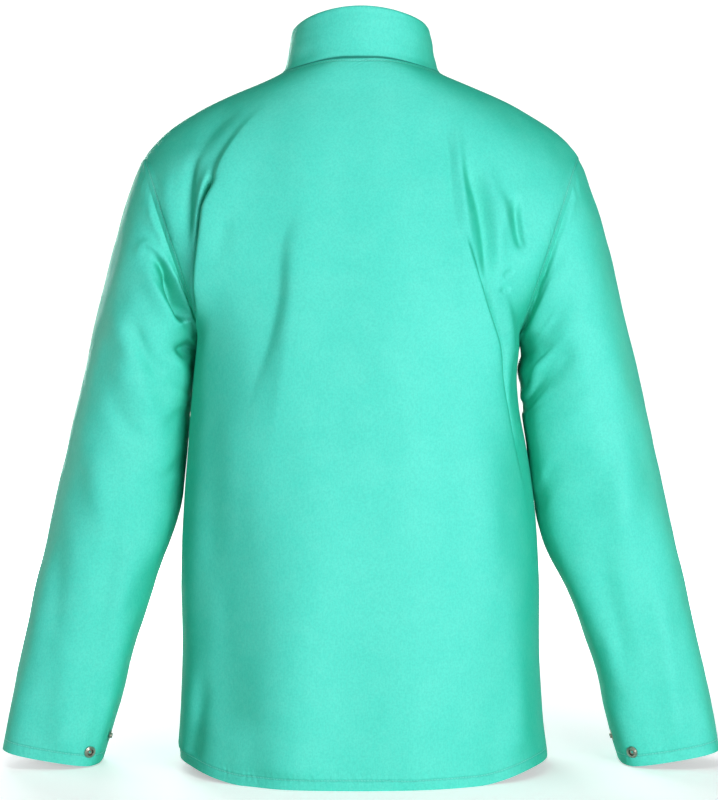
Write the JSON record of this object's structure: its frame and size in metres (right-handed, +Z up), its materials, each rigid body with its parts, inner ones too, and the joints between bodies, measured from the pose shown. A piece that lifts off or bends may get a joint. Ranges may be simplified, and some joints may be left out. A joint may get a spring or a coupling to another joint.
{
  "type": "welding jacket",
  "caption": "Snap-front flame-resistant welding jacket with a stand collar, long set-in sleeves and snap cuffs, standing open on its hem",
  "frame": {"origin": "centre of the object's bounding box at the hem plane, where the hem ring stands on the floor", "axes": "+Z up towards the collar, front of the jacket faces -Y, the wearer's left is +X"},
  "size_m": [0.772, 0.3098, 0.8077],
  "materials": {
    "shell_cloth": "sea-green flame-resistant cotton sateen, fine weave with a soft sheen",
    "inner_cloth": "same sea-green cotton seen from its duller inner face",
    "snap_metal": "nickel-plated brass, slightly antiqued",
    "label": "blank woven label, off-white"
  },
  "bodies": {
    "torso": {"back_panel": "shell_cloth", "left_front_side": "shell_cloth", "right_front_side": "shell_cloth", "collar_back": "shell_cloth", "collar_back_lining": "inner_cloth", "neck_label": "label"},
    "left_front": {"left_front_flap": "shell_cloth", "left_front_facing": "inner_cloth", "left_collar_wing": "shell_cloth", "left_collar_lining": "inner_cloth", "front_snap_caps": "snap_metal", "front_snap_sockets": "snap_metal", "collar_snap_cap": "snap_metal", "collar_snap_socket": "snap_metal"},
    "right_front": {"right_front_flap": "shell_cloth", "right_front_facing": "inner_cloth", "right_collar_wing": "shell_cloth", "right_collar_lining": "inner_cloth", "front_snap_studs": "snap_metal", "front_snap_eyelets": "snap_metal", "collar_snap_stud": "snap_metal", "collar_snap_eyelet": "snap_metal"},
    "left_sleeve_head": {"left_sleeve_cap": "shell_cloth"},
    "left_upper_arm": {"left_upper_sleeve": "shell_cloth"},
    "left_forearm": {"left_lower_sleeve": "shell_cloth", "left_cuff_stud": "snap_metal", "left_cuff_stud_back": "snap_metal", "left_cuff_socket": "snap_metal", "left_cuff_socket_back": "snap_metal"},
    "right_sleeve_head": {"right_sleeve_cap": "shell_cloth"},
    "right_upper_arm": {"right_upper_sleeve": "shell_cloth"},
    "right_forearm": {"right_lower_sleeve": "shell_cloth", "right_cuff_stud": "snap_metal", "right_cuff_stud_back": "snap_metal", "right_cuff_socket": "snap_metal", "right_cuff_socket_back": "snap_metal"}
  },
  "joints": [
    {"name": "left_front_open", "type": "hinge", "parent": "torso", "child": "left_front", "pos_m": [0.122, -0.12812, 0], "axis": [-0.0469, 0.0084, 0.9989], "range_deg": [0, 85]},
    {"name": "right_front_open", "type": "hinge", "parent": "torso", "child": "right_front", "pos_m": [-0.122, -0.12812, 0], "axis": [-0.0469, -0.0084, -0.9989], "range_deg": [0, 25]},
    {"name": "left_sleeve_swing", "type": "hinge", "parent": "torso", "child": "left_sleeve_head", "pos_m": [0.203, 0.00488, 0.575], "axis": [-1, 0, 0], "range_deg": [-10, 25]},
    {"name": "left_sleeve_lift", "type": "hinge", "parent": "left_sleeve_head", "child": "left_upper_arm", "pos_m": [0.215, 0.00488, 0.63], "axis": [0, -1, 0], "range_deg": [0, 35]},
    {"name": "left_elbow_bend", "type": "hinge", "parent": "left_upper_arm", "child": "left_forearm", "pos_m": [0.2575, -0.00712, 0.324], "axis": [-0.9138, 0, -0.4061], "range_deg": [0, 75]},
    {"name": "right_sleeve_swing", "type": "hinge", "parent": "torso", "child": "right_sleeve_head", "pos_m": [-0.203, 0.00488, 0.575], "axis": [-1, 0, 0], "range_deg": [-10, 25]},
    {"name": "right_sleeve_lift", "type": "hinge", "parent": "right_sleeve_head", "child": "right_upper_arm", "pos_m": [-0.215, 0.00488, 0.63], "axis": [0, 1, 0], "range_deg": [0, 35]},
    {"name": "right_elbow_bend", "type": "hinge", "parent": "right_upper_arm", "child": "right_forearm", "pos_m": [-0.2575, -0.00712, 0.324], "axis": [-0.9138, 0, 0.4061], "range_deg": [0, 75]}
  ],
  "couplings": [
    {"joint": "right_front_open", "follows": "left_front_open", "ratio": 0.28}
  ]
}
